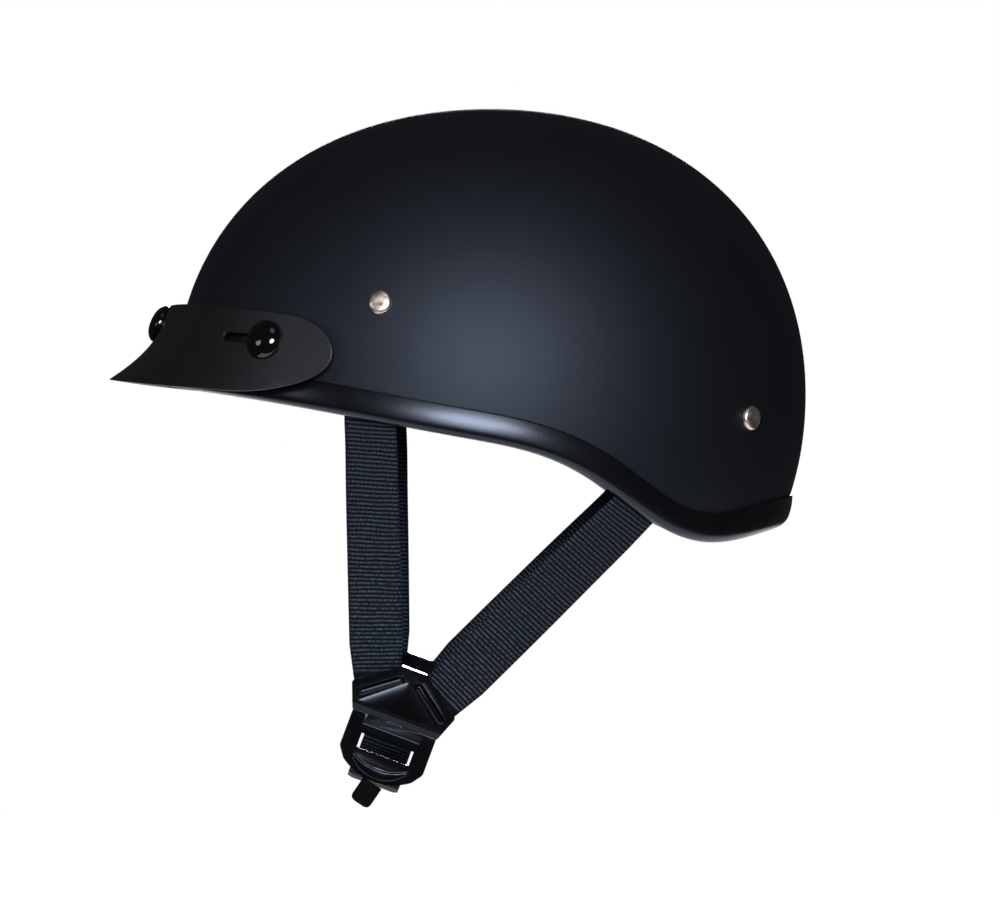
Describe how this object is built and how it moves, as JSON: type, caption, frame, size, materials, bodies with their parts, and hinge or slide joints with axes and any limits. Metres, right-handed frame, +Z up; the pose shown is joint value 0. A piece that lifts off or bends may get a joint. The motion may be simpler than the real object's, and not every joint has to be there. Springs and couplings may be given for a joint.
{
  "type": "half shell motorcycle helmet",
  "caption": "Half shell motorcycle helmet with a rubber edge trim, padded liner, riveted webbing straps, a side release chin buckle and a visor held by three press studs.",
  "frame": {"origin": "middle of the dome at its widest line, inside the head cavity", "axes": "+X towards the wearer's left, +Y towards the back of the head, +Z up"},
  "size_m": [0.2184, 0.2956, 0.2916],
  "materials": {
    "shell_paint": "matte black with a faint sheen",
    "trim_rubber": "satin black rubber",
    "foam": "moulded bead foam",
    "liner_cloth": "woven cloth",
    "pad_cloth": "brushed knit over soft foam",
    "rivet_chrome": "polished",
    "steel": "plain",
    "webbing": "ribbed webbing",
    "buckle_plastic": "satin black moulding",
    "visor_plastic": "matte black moulding",
    "cap_plastic": "glossy black"
  },
  "bodies": {
    "helmet": {"shell": "shell_paint", "edge_trim": "trim_rubber", "foam_liner": "foam", "liner_skirt": "liner_cloth", "crown_pad": "pad_cloth", "brow_pad": "pad_cloth", "neck_pad": "pad_cloth", "side_pad_left": "pad_cloth", "side_pad_right": "pad_cloth", "strap_rivets": "rivet_chrome", "rivet_washers": "steel", "snap_studs": "steel", "stud_washers": "steel", "front_strap_left": "webbing", "rear_strap_left": "webbing", "front_strap_right": "webbing", "rear_strap_right": "webbing", "buckle_housing": "buckle_plastic", "housing_back_plate": "buckle_plastic", "housing_bars": "steel", "right_yoke": "buckle_plastic", "yoke_back_plate": "buckle_plastic", "yoke_bars": "steel", "chin_hinge_bar": "steel"},
    "visor_set": {"visor": "visor_plastic", "snap_caps": "cap_plastic", "snap_sockets": "steel", "snap_springs": "steel"},
    "button": {"release_button": "buckle_plastic"},
    "chin_set": {"buckle_plug": "buckle_plastic", "latch_arm": "steel", "lock_bar": "steel", "chin_strap": "webbing", "strap_tail": "webbing"}
  },
  "joints": [
    {"name": "visor_pull_off", "type": "slide", "parent": "helmet", "child": "visor_set", "axis": [0, -1, 0], "range_m": [0, 0.06]},
    {"name": "button_press", "type": "slide", "parent": "helmet", "child": "button", "axis": [-1, 0, 0], "range_m": [0, 0.0015], "stiffness_N_per_m": 1500, "springref_m": -0.0005, "deforming": ["latch_arm"]},
    {"name": "chin_swing", "type": "hinge", "parent": "helmet", "child": "chin_set", "pos_m": [-0.06, -0.04045, -0.14006], "axis": [0, 0.9367, -0.3502], "range_deg": [0, 75], "deforming": ["latch_arm"]}
  ]
}
